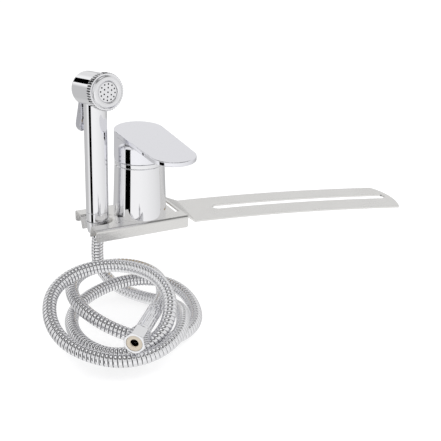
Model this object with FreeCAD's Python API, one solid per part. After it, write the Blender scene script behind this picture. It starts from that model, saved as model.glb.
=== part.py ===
"""Bidet shower mixer on a bent steel bracket: single lever mixer, hand shower with trigger, metal hose.

Everything is drawn about the mixer's axis, with z = 0 on the top of the bracket's plate, +Z up, the lever
towards -Y and the bracket's slotted arm towards +X. On saving, the origin moves to the underside of the arm,
beside the inner end of its slot, where the arm rests when it is clamped under a toilet seat. Millimetres.
"""
import math
import os

import FreeCAD
import Part

V = FreeCAD.Vector

# Bracket
SHEET = 2.0                     # thickness of the stainless sheet
BEND = 1.0                      # inside radius of the flanges' bends
PLATE_LEFT = -57.0
PLATE_RIGHT = 40.0
PLATE_FRONT = -30.0
PLATE_BACK = 32.0
FLANGE = 12.0                   # depth of the front and back flanges
FLANGE_CORNER = 2.0
STEP_DROP = 5.0                 # the arm lies this much below the plate
ARM_CENTRE = (-82.9, -1029.1)   # common centre of the arm's curved edges and slot
ARM_RADIUS = 1035.6             # centreline of the slot
ARM_FRONT_HALF = 30.3
ARM_BACK_HALF = 28.2
ARM_START = 50.5                # where the step ends, on the centreline
ARM_END_CORNER = (265.1, -85.6)
ARM_END_BULGE = (275.8, -55.0)
ARM_END_BACK = (272.7, -28.5)
ARM_CORNER = 5.0                # rounding of the arm's back corner
ARM_SLOT_HALF = 6.0
ARM_SLOT_START = 80.0
ARM_SLOT_END = 270.0
CROSS_SLOT_X = 33.0
CROSS_SLOT_WIDTH = 4.6
CROSS_SLOT_Y = (-14.0, 20.0)
SEAT_X = 72.0                   # the holding point, under the arm
SEAT_Y = -5.0

# Collar for the hand shower
HANDSET_X = -45.0
COLLAR_BEND = 3.5               # outside radius of the pressed lip
COLLAR_BEND_START = 17.5        # from the hand shower's axis
COLLAR_TAPER = 22.0             # degrees from upright
COLLAR_DEPTH = 12.5

# Mixer body
BODY_BASE_R = 26.8
BODY_TOP_R = 24.8
BODY_TOP = 53.0
BODY_WALL = 2.8                 # of the skirt round the cast recess
BODY_RECESS = 13.0              # depth of the recess in the underside
HUB_R = 19.0
GASKET = 1.5                    # lies in the recess, on the plate
SHANK_R = 16.4
MIXER_HOLE_R = 17.5
RUBBER_WASHER = 2.0             # thicknesses of what clamps the mixer to the plate
STEEL_WASHER = 1.5
WASHER_R = 24.5
CLAMP_NUT = 6.0
CLAMP_NUT_FLATS = 41.0
SHANK_PAST_NUT = 2.0
INLET_X = 7.5
INLET_Y = -8.0
INLET_R = 4.25                  # M10 x 1
INLET_DEPTH = 12.0
OUTLET_Y = 8.5                  # behind the inlets
OUTLET_R = 4.5
OUTLET_DEPTH = 12.0
NIPPLE_R = 7.4                  # M15 x 1, as the nut on the hose's free end
NIPPLE_LENGTH = 10.8
NIPPLE_BORE = 3.0

# Cartridge
CARTRIDGE_R = 17.5
CARTRIDGE_FLOOR = 20.0
HOUSING_BASE = 2.5
INLET_PORT = (6.5, -7.5)        # of the ceramic discs
OUTLET_PORT = 6.0
CARTRIDGE_SHOULDER = 47.0
NECK_R = 13.9
NECK_TOP = 61.0
NUT_THREAD_R = 18.2
DISC_R = 15.0
DISC_T = 3.0
MOVING_DISC_R = 9.9
ROTOR_R = 9.5
ROTOR_FLANGE_R = 11.6
ROTOR_FLANGE = 2.7
NECK_LIP = 0.9                  # keeps the rotor in its housing
CARTRIDGE_NUT_FLATS = 30.5
CARTRIDGE_NUT_HEAD = 3.2
SPINDLE_PIN_R = 1.5
TAIL_BALL_R = 2.9
SPINDLE = 8.0                   # square
PIVOT_Z = 67.0                  # the lever tilts about this height
LEVER_LIFT = 25.0               # degrees
TAIL = 12.0                     # from the pivot down to the disc's pocket
FIT = 0.1                       # running and seating clearance
GAP = 0.3                       # between pieces that pass each other

# Cover ring and lever
SEAM = 0.5
RING_HEIGHT = 4.2
RING_GAP = 0.4                  # between ring and lever
CAP_OVERHANG = 0.5              # of the lever's cap over the body
CAP_WALL = 3.5
CAP_CEILING = 79.0
LEVER_BOSS_R = 7.5
LEVER_TOP = 87.2                # on the axis
LEVER_SLOPE = 3.0               # degrees, down towards the tip
LEVER_THICK = 4.5
LEVER_TIP_R = 21.9
LEVER_REACH = 75.8              # axis to the centre of the tip's arc
LEVER_BLEND = 10.0              # concave flare between cap and blade
BLADE_EDGE = 0.9                # rounding of the blade's rims
GRUB_R = 2.5
GRUB_Z = 82.8
GRUB_LENGTH = 8.0
PLUG_R = 3.1
PLUG_LENGTH = 4.0

# Hand shower
HANDLE_R = 11.0
HANDLE_BORE = 8.4
HANDLE_FOOT = 8.9
STUB_R = 8.9                    # threaded foot of the handle
STUB_BORE = 6.4
STUB_END = -7.5
SLEEVE_FOOT = 0.0
NUT_TOP = -0.4
NUT_END = -13.0
NUT_TAPER = 8.0                 # degrees
NUT_STEP = -9.6                 # where the nut's bore narrows over the ferrule
FERRULE_R = 7.6
HOSE_START = -18.0
HOSE_WASHER = 1.0
TUBE_BORE = 4.4                 # radius of the water way in the handle
HEAD_Z = 130.2
HEAD_R = 16.3
HEAD_TURN = 8.5                 # degrees, the face looks towards -Y and a little to +X
HEAD_TILT = 5.5                 # degrees upwards
HEAD_BACK = -19.0
HEAD_EDGE = 4.0
KNURL_START = 16.0
KNURL_END = 23.2
KNURL_R = 17.8
KNURL_TEETH = 46
FACE_END = 26.2
FACE_R = 15.5
PLATE_R = 9.7
HEAD_BORE = 13.5
HEAD_WALL = 1.1                 # at the seal, round the head's bore
PLATE_STEP = 1.8                # rim of the spray plate under the face ring
SEAL = 0.6
HOLE_RINGS = ((12, 7.5), (6, 4.2), (1, 0.0))    # holes and radius of each ring of the spray plate
HOLE_R = 0.75
TRIGGER_BACK = 15.0             # from the handle's axis to the trigger's pin
TRIGGER_DROP = 23.2             # from the head's axis down to the pin
TRIGGER_HALF = 9.0
TRIGGER_WALL = 1.8
TRIGGER_FOOT = 23.0             # from the pin down to the trigger's end
TRIGGER_UNDER_HEAD = 1.5        # the trigger's top is cut round the head with this gap
PIN_R = 1.5
LUG_IN = 4.7
LUG_OUT = 6.9
LUG_EDGE = 3.2
PLUNGER_DROP = 9.0              # from the pin down to the plunger
STEM_R = 1.6
BUTTON_R = 2.4
BUTTON_TIP = 22.0
COLLAR_FACE = 15.6
COLLAR_R = 3.9
COLLAR_T = 1.2
GLAND_R = 5.4
GLAND_START = 8.9
GLAND_SEAT = 12.5
GLAND_FLOOR = 9.8
GLAND_END = 17.6
VALVE_BELOW = 10.0              # valve block below and above the plunger
VALVE_ABOVE = 11.0
SPRING_WIRE = 0.6
SPRING_R = 3.3
SPRING_TURNS = 5

# Hose
HOSE_D = 12.0
HOSE_BORE = 7.6
RIB_PITCH = 3.6
RIB_DEPTH = 0.55
COIL_FROM = 3                   # the coil starts in the middle of the run before this point
HOSE_ROUTE = [
    (-45, 0, -18), (-45, 0, -39), (-42, -8, -58), (-33, -23, -70), (-17, -44, -72), (-5, -71, -67),
    (-3, -101, -58), (-11, -130, -50), (-27, -160, -50), (-54, -176, -55), (-85, -175, -58),
    (-109, -155, -57), (-124, -129, -51), (-127, -99, -42), (-116, -72, -32), (-91, -57, -25),
    (-62, -58, -22), (-39, -77, -20), (-26, -106, -21), (-26, -133, -31), (-40, -152, -46),
    (-65, -161, -55), (-88, -153, -60), (-103, -130, -60), (-106, -101, -60), (-99, -73, -60),
    (-80, -49, -59), (-53, -36, -57), (-24, -34, -55), (2, -46, -55), (18, -69, -57), (19, -98, -62),
    (4, -123, -66), (-22, -138, -67), (-50, -137, -63), (-73, -122, -56), (-90, -101, -48),
    (-96, -76, -43), (-91, -51, -41), (-76, -32, -40), (-53, -23, -40), (-29, -28, -40),
    (-13, -46, -40), (-9, -70, -41), (-16.6, -95, -43.4), (-31.4, -118.2, -39.3), (-40.1, -128.4, -39.2),
]
END_SLEEVE = 42.0               # fluted sleeve at the hose's free end
END_SLEEVE_R = 6.7
END_FLUTES = 16
END_NUT_START = 45.0
END_NUT_LENGTH = 15.0
END_NUT_FLATS = 17.0
END_NECK_R = 4.8
END_FLANGE = 11.0               # from the nut's back to the ferrule's flange
END_FLANGE_T = 1.6
END_BORE_R = 7.0                # M15 x 1
END_WASHER = 2.0
END_WASHER_BORE = 3.7

# What follows from the sizes above
SEAT = V(SEAT_X, SEAT_Y, -STEP_DROP - SHEET)
RUBBER_FOOT = -SHEET - RUBBER_WASHER
CLAMP = RUBBER_FOOT - STEEL_WASHER
SHANK_END = CLAMP - CLAMP_NUT - SHANK_PAST_NUT
RECESS_R = BODY_BASE_R - BODY_WALL
RING_TOP = BODY_TOP + RING_HEIGHT
CAP_BOTTOM = RING_TOP + RING_GAP
CAP_R = BODY_TOP_R + CAP_OVERHANG
CAP_CAVITY_R = CAP_R - CAP_WALL
LEVER_REAR_R = CAP_R - 0.4
DISC_SEAT = CARTRIDGE_FLOOR + HOUSING_BASE
ROTOR_FOOT = NECK_TOP - NECK_LIP - 2 * FIT - ROTOR_FLANGE
TRIGGER_Z = HEAD_Z - TRIGGER_DROP
PLUNGER_Z = TRIGGER_Z - PLUNGER_DROP


def flat(a, b):
    """A point of a turned or side profile: a is the radius or depth along X, b the height."""
    return V(a, 0, b)


def outline(points, to_space=flat):
    """Closed wire through the points; one with a third item is reached by an arc through that item."""
    edges = []
    for last, point in zip(points[-1:] + points[:-1], points):
        start = to_space(last[0], last[1])
        end = to_space(point[0], point[1])
        if len(point) == 3:
            edges.append(Part.Arc(start, to_space(*point[2]), end).toShape())
        else:
            edges.append(Part.makeLine(start, end))
    return Part.Wire(edges)


def turned(points):
    """Solid of revolution about the Z axis from (radius, height) points."""
    return Part.Face(outline(points)).revolve(V(0, 0, 0), V(0, 0, 1), 360)


def rod(radius, low, high, x=0.0, y=0.0):
    return Part.makeCylinder(radius, high - low, V(x, y, low))


def ring(outer, inner, low, high, x=0.0, y=0.0):
    return rod(outer, low, high, x, y).cut(rod(inner, low - 1, high + 1, x, y))


def along_x(radius, length, height):
    return Part.makeCylinder(radius, length, V(-length / 2, 0, height), V(1, 0, 0))


def block(x0, x1, y0, y1, z0, z1):
    return Part.makeBox(x1 - x0, y1 - y0, z1 - z0, V(x0, y0, z0))


def on_circle(centre, radius, degrees):
    angle = math.radians(degrees)
    return (centre[0] + radius * math.cos(angle), centre[1] + radius * math.sin(angle))


def hexagon(flats, low, high):
    """Hexagonal prism with its corners bevelled at both ends."""
    corner = flats / math.sqrt(3)
    points = [V(*on_circle((0, 0), corner, 60 * i), low) for i in range(6)]
    prism = Part.Face(Part.makePolygon(points + points[:1])).extrude(V(0, 0, high - low))
    bevel = corner - flats / 2
    edge = flats / 2 + 0.2
    slope = bevel * 0.6
    cone = turned([(0, low), (edge, low), (corner, low + slope), (corner, high - slope), (edge, high), (0, high)])
    return prism.common(cone)


def toothed(radius, depth, teeth, low, high):
    """Ring gear-like prism: trapezoid teeth of equal width round a circle."""
    points = []
    for tooth in range(teeth):
        for share, reach in ((0.0, radius - depth), (0.3, radius - depth), (0.5, radius), (0.8, radius)):
            points.append(V(*on_circle((0, 0), reach, 360.0 * (tooth + share) / teeth), low))
    return Part.Face(Part.makePolygon(points + points[:1])).extrude(V(0, 0, high - low))


def placed(shape, origin, direction):
    """The shape with its Z axis along the direction and its origin moved."""
    result = shape.copy()
    result.Placement = FreeCAD.Placement(origin, FreeCAD.Rotation(V(0, 0, 1), direction)).multiply(result.Placement)
    return result


def save(name, shape):
    """Write one node, with the origin moved to the holding point."""
    shape = shape.copy()
    shape.translate(-SEAT)
    solids = shape.Solids
    if not shape.isValid() or not solids:
        raise ValueError(name + " is not a valid solid")
    if len(solids) == 1:
        shape = solids[0]
    shape.exportStep("parts/" + name + ".step")


# Bracket

def arm_point(offset, angle):
    """A point of the arm: offset outwards from the slot's centreline, angle from +Y about the arm's centre."""
    radius = ARM_RADIUS + offset
    return (ARM_CENTRE[0] + radius * math.sin(angle), ARM_CENTRE[1] + radius * math.cos(angle))


def arm_angle(x, offset=0.0):
    return math.asin((x - ARM_CENTRE[0]) / (ARM_RADIUS + offset))


def make_arm():
    """The curved arm with its slot, a flat blank cut to its outline."""
    low = -STEP_DROP - SHEET
    start = arm_angle(ARM_START)
    front_end = arm_angle(ARM_END_CORNER[0], -ARM_FRONT_HALF)
    back_end = arm_angle(ARM_END_BACK[0], ARM_BACK_HALF)
    back_corner = arm_point(ARM_BACK_HALF, back_end)
    blank = outline([
        arm_point(-ARM_FRONT_HALF, start),
        arm_point(-ARM_FRONT_HALF, front_end) + (arm_point(-ARM_FRONT_HALF, (start + front_end) / 2),),
        back_corner + (ARM_END_BULGE,),
        arm_point(ARM_BACK_HALF, start) + (arm_point(ARM_BACK_HALF, (start + back_end) / 2),),
    ], lambda x, y: V(x, y, low))
    arm = Part.Face(blank).extrude(V(0, 0, SHEET))
    corner = V(back_corner[0], back_corner[1], low + SHEET / 2)
    sharp = [edge for edge in arm.Edges if edge.BoundBox.ZLength > SHEET / 2
             and edge.CenterOfMass.distanceToPoint(corner) < 0.1]
    arm = arm.makeFillet(ARM_CORNER, sharp)
    inner = arm_angle(ARM_SLOT_START + ARM_SLOT_HALF)
    outer = arm_angle(ARM_SLOT_END - ARM_SLOT_HALF)
    lead = ARM_SLOT_HALF / ARM_RADIUS
    slot = outline([
        arm_point(-ARM_SLOT_HALF, inner),
        arm_point(-ARM_SLOT_HALF, outer) + (arm_point(-ARM_SLOT_HALF, (inner + outer) / 2),),
        arm_point(ARM_SLOT_HALF, outer) + (arm_point(0, outer + lead),),
        arm_point(ARM_SLOT_HALF, inner) + (arm_point(ARM_SLOT_HALF, (inner + outer) / 2),),
        ], lambda x, y: V(x, y, low - 1))
    round_end = rod(ARM_SLOT_HALF, low - 1, low + SHEET + 1, *arm_point(0, inner))
    return arm.cut(Part.Face(slot).extrude(V(0, 0, SHEET + 2))).cut(round_end)


def collar_wall(y_sign):
    """Section of the pressed lip on one side of the hand shower, drawn at the hand shower's axis."""
    bend_centre = (COLLAR_BEND_START, -COLLAR_BEND)
    turn = 90.0 + 90.0 - COLLAR_TAPER
    inner_bend = COLLAR_BEND - SHEET
    top_in = on_circle(bend_centre, COLLAR_BEND, turn)
    top_out = on_circle(bend_centre, inner_bend, turn)
    slope = math.tan(math.radians(COLLAR_TAPER))
    points = [
        (COLLAR_BEND_START, 0),
        top_in + (on_circle(bend_centre, COLLAR_BEND, (90.0 + turn) / 2),),
        (top_in[0] - (top_in[1] + COLLAR_DEPTH) * slope, -COLLAR_DEPTH),
        (top_out[0] - (top_out[1] + COLLAR_DEPTH) * slope, -COLLAR_DEPTH),
        top_out,
        (COLLAR_BEND_START, -SHEET, on_circle(bend_centre, inner_bend, (90.0 + turn) / 2)),
    ]
    return Part.Face(outline(points, lambda r, z: V(HANDSET_X, y_sign * r, z)))


def collar_foot_radius():
    """Inside radius of the collar at its lower edge."""
    turn = math.radians(90.0 - COLLAR_TAPER)
    wall_top = COLLAR_BEND_START - COLLAR_BEND * math.sin(turn)
    wall_height = COLLAR_DEPTH - COLLAR_BEND + COLLAR_BEND * math.cos(turn)
    return wall_top - wall_height * math.tan(math.radians(COLLAR_TAPER))


def make_bracket():
    """Plate with two flanges, collar, step and arm, bent from one sheet."""
    outer = BEND + SHEET
    front = (PLATE_FRONT + outer, -outer)
    back = (PLATE_BACK - outer, -outer)
    channel = outline([
        (PLATE_FRONT, -FLANGE),
        (PLATE_FRONT, -outer),
        (PLATE_FRONT + outer, 0, on_circle(front, outer, 135)),
        (PLATE_BACK - outer, 0),
        (PLATE_BACK, -outer, on_circle(back, outer, 45)),
        (PLATE_BACK, -FLANGE),
        (PLATE_BACK - SHEET, -FLANGE),
        (PLATE_BACK - SHEET, -outer),
        (PLATE_BACK - outer, -SHEET, on_circle(back, BEND, 45)),
        (PLATE_FRONT + outer, -SHEET),
        (PLATE_FRONT + SHEET, -outer, on_circle(front, BEND, 135)),
        (PLATE_FRONT + SHEET, -FLANGE),
    ], lambda y, z: V(PLATE_LEFT, y, z))
    plate = Part.Face(channel).extrude(V(PLATE_RIGHT - PLATE_LEFT, 0, 0))
    corners = [edge for edge in plate.Edges
               if edge.BoundBox.ZMax < -FLANGE + 0.1 and edge.BoundBox.XLength < 0.1]
    plate = plate.makeFillet(FLANGE_CORNER, corners)
    plate = plate.cut(rod(COLLAR_BEND_START, -SHEET - 1, 1, HANDSET_X))
    plate = plate.cut(block(PLATE_LEFT - 1, HANDSET_X, -COLLAR_BEND_START, COLLAR_BEND_START, -SHEET - 1, 1))
    plate = plate.cut(rod(MIXER_HOLE_R, -SHEET - 1, 1))
    plate = plate.cut(block(CROSS_SLOT_X, CROSS_SLOT_X + CROSS_SLOT_WIDTH, *CROSS_SLOT_Y, -SHEET - 1, 1))
    lip = collar_wall(-1).revolve(V(HANDSET_X, 0, 0), V(0, 0, 1), 180)
    sides = [collar_wall(sign).extrude(V(PLATE_LEFT - HANDSET_X, 0, 0)) for sign in (-1, 1)]
    start = arm_angle(ARM_START)
    arm_front = arm_point(-ARM_FRONT_HALF, start)
    arm_back = arm_point(ARM_BACK_HALF, start)
    step_top = [V(PLATE_RIGHT, PLATE_FRONT, 0), V(PLATE_RIGHT, PLATE_BACK, 0),
                V(PLATE_RIGHT, PLATE_BACK, -SHEET), V(PLATE_RIGHT, PLATE_FRONT, -SHEET)]
    step_foot = [V(*arm_front, -STEP_DROP), V(*arm_back, -STEP_DROP),
                 V(*arm_back, -STEP_DROP - SHEET), V(*arm_front, -STEP_DROP - SHEET)]
    ends = [Part.makePolygon(points + points[:1]) for points in (step_top, step_foot)]
    step = Part.makeLoft(ends, True, True)
    return plate.fuse([lip] + sides + [step, make_arm()]).removeSplitter()


# Mixer body and what clamps it

def make_body():
    """Cast body: slightly conical, cartridge bore above, recess and threaded shank with water ways below."""
    roof = BODY_RECESS
    chamfer = 1.0
    body = turned([
        (0, SHANK_END), (SHANK_R - chamfer, SHANK_END), (SHANK_R, SHANK_END + chamfer), (SHANK_R, 0), (HUB_R, 0),
        (HUB_R, roof), (RECESS_R, roof), (RECESS_R, 0), (BODY_BASE_R, 0), (BODY_TOP_R, BODY_TOP - 0.4),
        (BODY_TOP_R - 0.4, BODY_TOP), (0, BODY_TOP)])
    cuts = [rod(CARTRIDGE_R + FIT, CARTRIDGE_FLOOR, CARTRIDGE_SHOULDER),
            rod(NUT_THREAD_R, CARTRIDGE_SHOULDER, BODY_TOP + 1)]
    for x, y, radius, depth in ((-INLET_X, INLET_Y, INLET_R, INLET_DEPTH), (INLET_X, INLET_Y, INLET_R, INLET_DEPTH),
                                (0, OUTLET_Y, OUTLET_R, OUTLET_DEPTH)):
        cuts.append(rod(radius, SHANK_END - 1, SHANK_END + depth, x, y))
        cuts.append(rod(radius - 1, SHANK_END, CARTRIDGE_FLOOR + 1, x, y))
    return body.cut(cuts)


def ports(low, high, radius):
    """The three water ways of the cartridge as cutting rods."""
    x, y = INLET_PORT
    return [rod(radius, low, high, *place) for place in ((-x, y), (x, y), (0, OUTLET_PORT))]


def make_outlet():
    """Threaded nipple for the hose's nut, screwed into the shank's outlet."""
    foot = SHANK_END - NIPPLE_LENGTH
    top = SHANK_END + OUTLET_DEPTH
    screwed = OUTLET_R - FIT / 2
    shape = turned([
        (NIPPLE_BORE, foot), (NIPPLE_R - 0.8, foot), (NIPPLE_R, foot + 0.8), (NIPPLE_R, SHANK_END),
        (screwed, SHANK_END), (screwed, top), (NIPPLE_BORE, top)])
    shape.translate(V(0, OUTLET_Y, 0))
    return shape


# Cartridge

def make_housing():
    """Cartridge housing: wide below the shoulder, with a neck that holds the rotor under a lip."""
    floor = CARTRIDGE_FLOOR
    neck_cavity = ROTOR_FLANGE_R + 0.4
    lip = NECK_TOP - NECK_LIP
    housing = turned([
        (0, floor), (CARTRIDGE_R - 0.5, floor), (CARTRIDGE_R, floor + 0.5), (CARTRIDGE_R, CARTRIDGE_SHOULDER),
        (NECK_R, CARTRIDGE_SHOULDER), (NECK_R, NECK_TOP), (ROTOR_R + FIT, NECK_TOP), (ROTOR_R + FIT, lip),
        (neck_cavity, lip), (neck_cavity, CARTRIDGE_SHOULDER - 2), (DISC_R + FIT, CARTRIDGE_SHOULDER - 2),
        (DISC_R + FIT, DISC_SEAT), (0, DISC_SEAT)])
    return housing.cut(ports(floor - 1, DISC_SEAT + 1, 3.0))


def make_moving_disc():
    """Ceramic disc and its carrier, with the pocket that the spindle's tail pushes and the mixing chamber below."""
    low = DISC_SEAT + DISC_T
    r = MOVING_DISC_R
    top = ROTOR_FOOT - GAP
    disc = turned([
        (0, low), (r - 0.5, low), (r, low + 0.5), (r, low + 8), (6.0, low + 9.5), (6.0, top), (0, top)])
    pocket = rod(TAIL_BALL_R + 0.25, PIVOT_Z - TAIL - TAIL_BALL_R - 0.6, ROTOR_FOOT)
    chamber = block(-4.5, 4.5, -2.5, 8.0, low - 1, low + 1.5)
    return disc.cut([pocket, chamber])


def make_rotor():
    """Turns with the lever; its slot lets the spindle tilt on a cross pin."""
    foot = ROTOR_FOOT
    shoulder = foot + ROTOR_FLANGE
    top = PIVOT_Z + 3.5
    rotor = turned([
        (0, foot), (ROTOR_FLANGE_R, foot), (ROTOR_FLANGE_R, shoulder), (ROTOR_R, shoulder),
        (ROTOR_R, top - 1.5), (ROTOR_R - 1.5, top), (0, top)])
    wide = SPINDLE / 2 + GAP
    reach = TAIL * math.sin(math.radians(LEVER_LIFT)) + TAIL_BALL_R + GAP
    slot = block(-wide, wide, -7, 7, foot - 1, top + 1)
    tail_slot = block(-wide, wide, -reach, reach, foot - 1, foot + 2.3)
    pin_hole = along_x(SPINDLE_PIN_R, 2 * ROTOR_R + 4, PIVOT_Z)
    return rotor.cut([slot, tail_slot, pin_hole])


def make_spindle():
    """Square spindle with a ball-ended tail."""
    half = SPINDLE / 2 - 0.03
    top = GRUB_Z + 2.2
    square = block(-half, half, -half, half, PIVOT_Z - 5.5, top)
    tail = rod(TAIL_BALL_R - 0.5, PIVOT_Z - TAIL, PIVOT_Z - 5)
    ball = Part.makeSphere(TAIL_BALL_R, V(0, 0, PIVOT_Z - TAIL))
    return square.fuse([tail, ball]).cut(along_x(SPINDLE_PIN_R + FIT / 2, 2 * SPINDLE, PIVOT_Z))


def make_cartridge_nut():
    """Ring nut: thread in the body, low hexagon above."""
    thread = rod(NUT_THREAD_R - FIT, CARTRIDGE_SHOULDER, BODY_TOP + 0.3)
    top = BODY_TOP + CARTRIDGE_NUT_HEAD
    head = hexagon(CARTRIDGE_NUT_FLATS, BODY_TOP, top)
    return thread.fuse(head).cut(rod(NECK_R + FIT, CARTRIDGE_SHOULDER - 1, top + 1))


# Cover ring and lever

def make_cover_ring():
    """Ring above the seam, with a low dome that closes round the cartridge's neck."""
    seat = BODY_TOP
    inner = NUT_THREAD_R + 1.0
    bore = NECK_R + GAP
    top = NECK_TOP - 0.6
    middle = (inner + bore) / 2
    return turned([
        (inner, seat), (BODY_TOP_R - 1.3, seat), (BODY_TOP_R - 1.3, seat + SEAM), (BODY_TOP_R, seat + SEAM),
        (BODY_TOP_R, RING_TOP - 0.2), (BODY_TOP_R - 0.2, RING_TOP), (inner + 0.1, RING_TOP),
        (bore, top, (middle + 0.2, (RING_TOP + top) / 2 + 0.3)), (bore, top - 1.4), (inner - 0.6, RING_TOP - 1.0)])


def blade_outline(low):
    """Tapered outline of the lever's blade: two arcs and their common tangents."""
    lean = (LEVER_REAR_R - LEVER_TIP_R) / LEVER_REACH
    across = math.sqrt(1 - lean * lean)
    rear = (LEVER_REAR_R * across, -LEVER_REAR_R * lean)
    tip = (LEVER_TIP_R * across, -LEVER_REACH - LEVER_TIP_R * lean)
    return outline([
        (rear[0], rear[1]),
        (-rear[0], rear[1], (0, LEVER_REAR_R)),
        (-tip[0], tip[1]),
        (tip[0], tip[1], (0, -LEVER_REACH - LEVER_TIP_R)),
    ], lambda x, y: V(x, y, low))


def along_y(radius, start, end):
    """Rod along the grub screw's line."""
    return Part.makeCylinder(radius, end - start, V(0, start, GRUB_Z), V(0, 1, 0))


def plug_start():
    return LEVER_REAR_R - PLUG_LENGTH - GAP


def make_lever():
    """Cap over the cartridge, flaring into a flat blade that slopes down towards its tip."""
    slope = math.radians(LEVER_SLOPE)
    prism = Part.Face(blade_outline(CAP_BOTTOM)).extrude(V(0, 0, 2 * (LEVER_TOP - CAP_BOTTOM)))
    wide = 2 * LEVER_REAR_R
    slab = block(-wide, wide, -2 * LEVER_REACH, wide, -LEVER_THICK, 0)
    slab.rotate(V(0, 0, 0), V(1, 0, 0), LEVER_SLOPE)
    slab.translate(V(0, 0, LEVER_TOP))
    blade = prism.common(slab)
    rims = sorted(blade.Faces, key=lambda face: face.CenterOfMass.z)
    blade = blade.makeFillet(BLADE_EDGE, rims[-1].Edges + rims[0].Edges)
    cap_top = LEVER_TOP - LEVER_THICK + LEVER_REAR_R * math.tan(slope) + BLADE_EDGE + 0.3
    cap = turned([
        (0, CAP_BOTTOM), (CAP_R - 0.3, CAP_BOTTOM), (CAP_R, CAP_BOTTOM + 0.3), (LEVER_REAR_R, CAP_CEILING),
        (LEVER_REAR_R, cap_top), (0, cap_top)])
    flare_top = LEVER_TOP - LEVER_THICK - (LEVER_REAR_R + LEVER_BLEND) * math.tan(slope) + 0.15
    flare_foot = flare_top - LEVER_BLEND
    centre = (LEVER_REAR_R + LEVER_BLEND, flare_foot)
    flare = turned([
        (LEVER_REAR_R - 2, flare_foot), (LEVER_REAR_R, flare_foot),
        (centre[0], flare_top, on_circle(centre, LEVER_BLEND, 135)),
        (centre[0], flare_top + 1), (LEVER_REAR_R - 2, flare_top + 1)]).common(prism)
    lever = blade.fuse([cap, flare]).removeSplitter()
    boss_foot = PIVOT_Z + 7.5
    around_boss = ring(CAP_CAVITY_R, LEVER_BOSS_R, boss_foot, CAP_CEILING)
    cavity = rod(CAP_CAVITY_R, CAP_BOTTOM - 1, boss_foot).fuse(around_boss)
    relief = block(-wide, wide, 0, wide, -wide, 0)
    relief.rotate(V(0, 0, 0), V(1, 0, 0), LEVER_LIFT)
    relief.translate(V(0, 1.5, CAP_BOTTOM))
    half = SPINDLE / 2 + 0.05
    socket = block(-half, half, -half, half, boss_foot - 1, GRUB_Z + 2.3)
    grub = along_y(GRUB_R + FIT / 2, SPINDLE / 2 - 1, LEVER_REAR_R + 1)
    mouth = along_y(PLUG_R + FIT, plug_start(), LEVER_REAR_R + 1)
    return lever.cut([cavity, relief, socket, grub, mouth])


def make_grub():
    """Grub screw with a hexagon socket, against the spindle."""
    start = SPINDLE / 2
    end = start + GRUB_LENGTH
    key = hexagon(GRUB_R, 0, GRUB_LENGTH)
    return along_y(GRUB_R, start, end).cut(placed(key, V(0, end - GRUB_R, GRUB_Z), V(0, 1, 0)))


# Hand shower

def head_direction():
    turn = math.radians(HEAD_TURN)
    tilt = math.radians(HEAD_TILT)
    return V(math.sin(turn) * math.cos(tilt), -math.cos(turn) * math.cos(tilt), math.sin(tilt))


def spray_seat():
    """Where the head's rim ends, along its axis; the seal lies on it."""
    return KNURL_START + 5.0


def in_head(shape):
    """A shape drawn with its axis along Z, set into the head; the spray face looks along +Z."""
    return placed(shape, V(HANDSET_X, 0, HEAD_Z), head_direction())


def behind_handle(shape):
    """A shape drawn with +X away from the handle's back, set behind the handle."""
    result = shape.copy()
    result.rotate(V(0, 0, 0), V(0, 0, 1), 90.0 + HEAD_TURN)
    result.translate(V(HANDSET_X, 0, 0))
    return result


def along_plunger(shape):
    """A shape drawn along Z, laid along the plunger's axis with +Z away from the handle."""
    lying = shape.copy()
    lying.rotate(V(0, 0, 0), V(0, 1, 0), 90)
    lying.translate(V(0, 0, PLUNGER_Z))
    return behind_handle(lying)


def along_pin(radius, half):
    return behind_handle(Part.makeCylinder(radius, 2 * half, V(TRIGGER_BACK, -half, TRIGGER_Z), V(0, 1, 0)))


def make_handset_body():
    """Handle tube with threaded foot, head shell, boss for the gland and two lugs for the trigger."""
    b, z = TRIGGER_BACK, TRIGGER_Z
    handle = rod(HANDLE_R, HANDLE_FOOT, HEAD_Z - 4).fuse(rod(STUB_R, STUB_END, HANDLE_FOOT + 1))
    handle.translate(V(HANDSET_X, 0, 0))
    back = HEAD_BACK
    head = in_head(turned([
        (0, back), (HEAD_R - HEAD_EDGE, back + 0.8, (HEAD_R / 2 - HEAD_EDGE / 2, back + 0.2)),
        (HEAD_R, back + 0.8 + HEAD_EDGE, (HEAD_R - HEAD_EDGE * 0.293, back + 0.8 + HEAD_EDGE * 0.293)),
        (HEAD_R, KNURL_START), (HEAD_BORE + HEAD_WALL, KNURL_START), (HEAD_BORE + HEAD_WALL, spray_seat()),
        (0, spray_seat())]))
    root = HANDLE_R - 3
    lug = Part.Face(outline([
        (root, z - 5.5), (b, z - LUG_EDGE), (b, z + LUG_EDGE, (b + LUG_EDGE, z)), (root, z + 6.0)]))
    lugs = []
    for start in (LUG_IN, -LUG_OUT):
        plate = lug.extrude(V(0, LUG_OUT - LUG_IN, 0))
        plate.translate(V(0, start, 0))
        lugs.append(behind_handle(plate))
    boss = along_plunger(rod(LUG_OUT, HANDLE_BORE - 1.4, GLAND_SEAT))
    solid = handle.fuse([head, boss] + lugs)
    bore = rod(HANDLE_BORE, 12, HEAD_Z - 8).fuse(rod(STUB_BORE, STUB_END - 1, 13))
    bore.translate(V(HANDSET_X, 0, 0))
    chamber = in_head(rod(HEAD_BORE, HEAD_BACK + 4, spray_seat() + 1))
    gland_hole = along_plunger(rod(GLAND_R + FIT / 2, HANDLE_BORE - 2, GLAND_SEAT + 1))
    return solid.cut([bore, chamber, gland_hole, along_pin(PIN_R + 0.02, HANDLE_R)])


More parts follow.
